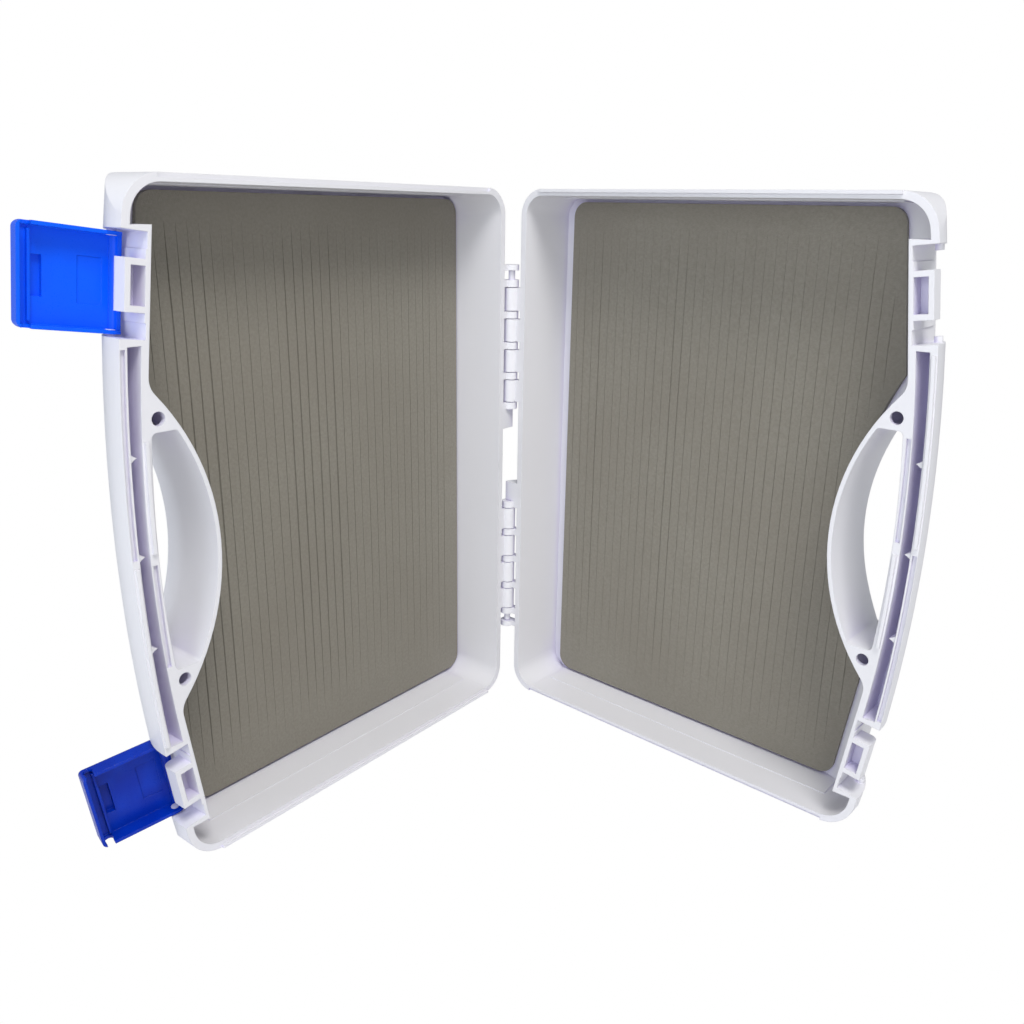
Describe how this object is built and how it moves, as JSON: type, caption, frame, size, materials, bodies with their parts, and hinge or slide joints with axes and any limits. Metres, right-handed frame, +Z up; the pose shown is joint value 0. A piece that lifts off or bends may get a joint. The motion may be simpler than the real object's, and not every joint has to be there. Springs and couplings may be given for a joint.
{
  "type": "fly box",
  "caption": "Large boat-style fly box: hinged plastic case with a carry handle, snap latches and slit foam pads, shown open and standing on its short side.",
  "frame": {"origin": "middle of the bounding box of the opened box as pictured, on the surface it stands on", "axes": "+Z up along the hinge axis, +Y out of the back of the left half (base), -Y out of its open tray, +X from the handle of the left half towards the hinge"},
  "size_m": [0.3312, 0.3069, 0.33],
  "materials": {
    "shell": "smooth injection-moulded polypropylene, satin to semi-gloss, off-white with a cool tint",
    "latch": "translucent royal blue moulded plastic, semi-gloss",
    "foam": "matte closed-cell foam sheet in warm grey, cut with rows of fine slits",
    "adhesive": "thin white double-sided adhesive film",
    "pin": "white plastic rod"
  },
  "bodies": {
    "base": {"base_shell": "shell", "base_foam": "foam", "base_foam_adhesive": "adhesive", "upper_hinge_pin": "pin", "lower_hinge_pin": "pin"},
    "lid": {"lid_shell": "shell", "lid_foam": "foam", "lid_foam_adhesive": "adhesive"},
    "upper_latch": {"upper_latch": "latch"},
    "lower_latch": {"lower_latch": "latch"}
  },
  "joints": [
    {"name": "lid_hinge", "type": "hinge", "parent": "base", "child": "lid", "pos_m": [0.12463, 0.11141, 0.165], "axis": [0, 0, 1], "range_deg": [-86.4, 114]},
    {"name": "upper_latch_hinge", "type": "hinge", "parent": "base", "child": "upper_latch", "pos_m": [-0.12666, 0.12796, 0.2852], "axis": [-0.1351, 0, -0.9908], "range_deg": [-103, 57]},
    {"name": "lower_latch_hinge", "type": "hinge", "parent": "base", "child": "lower_latch", "pos_m": [-0.12666, 0.12796, 0.0448], "axis": [0.1351, 0, -0.9908], "range_deg": [-103, 57]}
  ]
}
